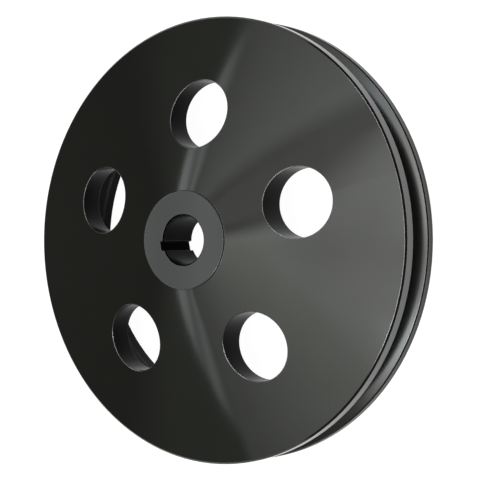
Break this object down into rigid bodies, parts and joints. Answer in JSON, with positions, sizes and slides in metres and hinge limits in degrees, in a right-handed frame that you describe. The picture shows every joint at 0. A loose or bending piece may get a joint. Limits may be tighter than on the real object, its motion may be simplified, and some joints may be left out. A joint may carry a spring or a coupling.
{
  "type": "power steering pump pulley",
  "caption": "One-piece V-belt pulley with a coned front, raised keyed hub, round lightening holes and a hollow back.",
  "frame": {"origin": "centre of the rim's rear face, on the bore axis, on the surface that the pulley lies on", "axes": "+Z along the bore towards the front of the hub; +X towards the middle of the first lightening hole; the keyway points 176.4 degrees round from +X"},
  "size_m": [0.146, 0.146, 0.0318],
  "materials": {
    "anodised_black": "satin black anodising over fine turning marks"
  },
  "bodies": {
    "root": {"pulley": "anodised_black"}
  },
  "joints": []
}
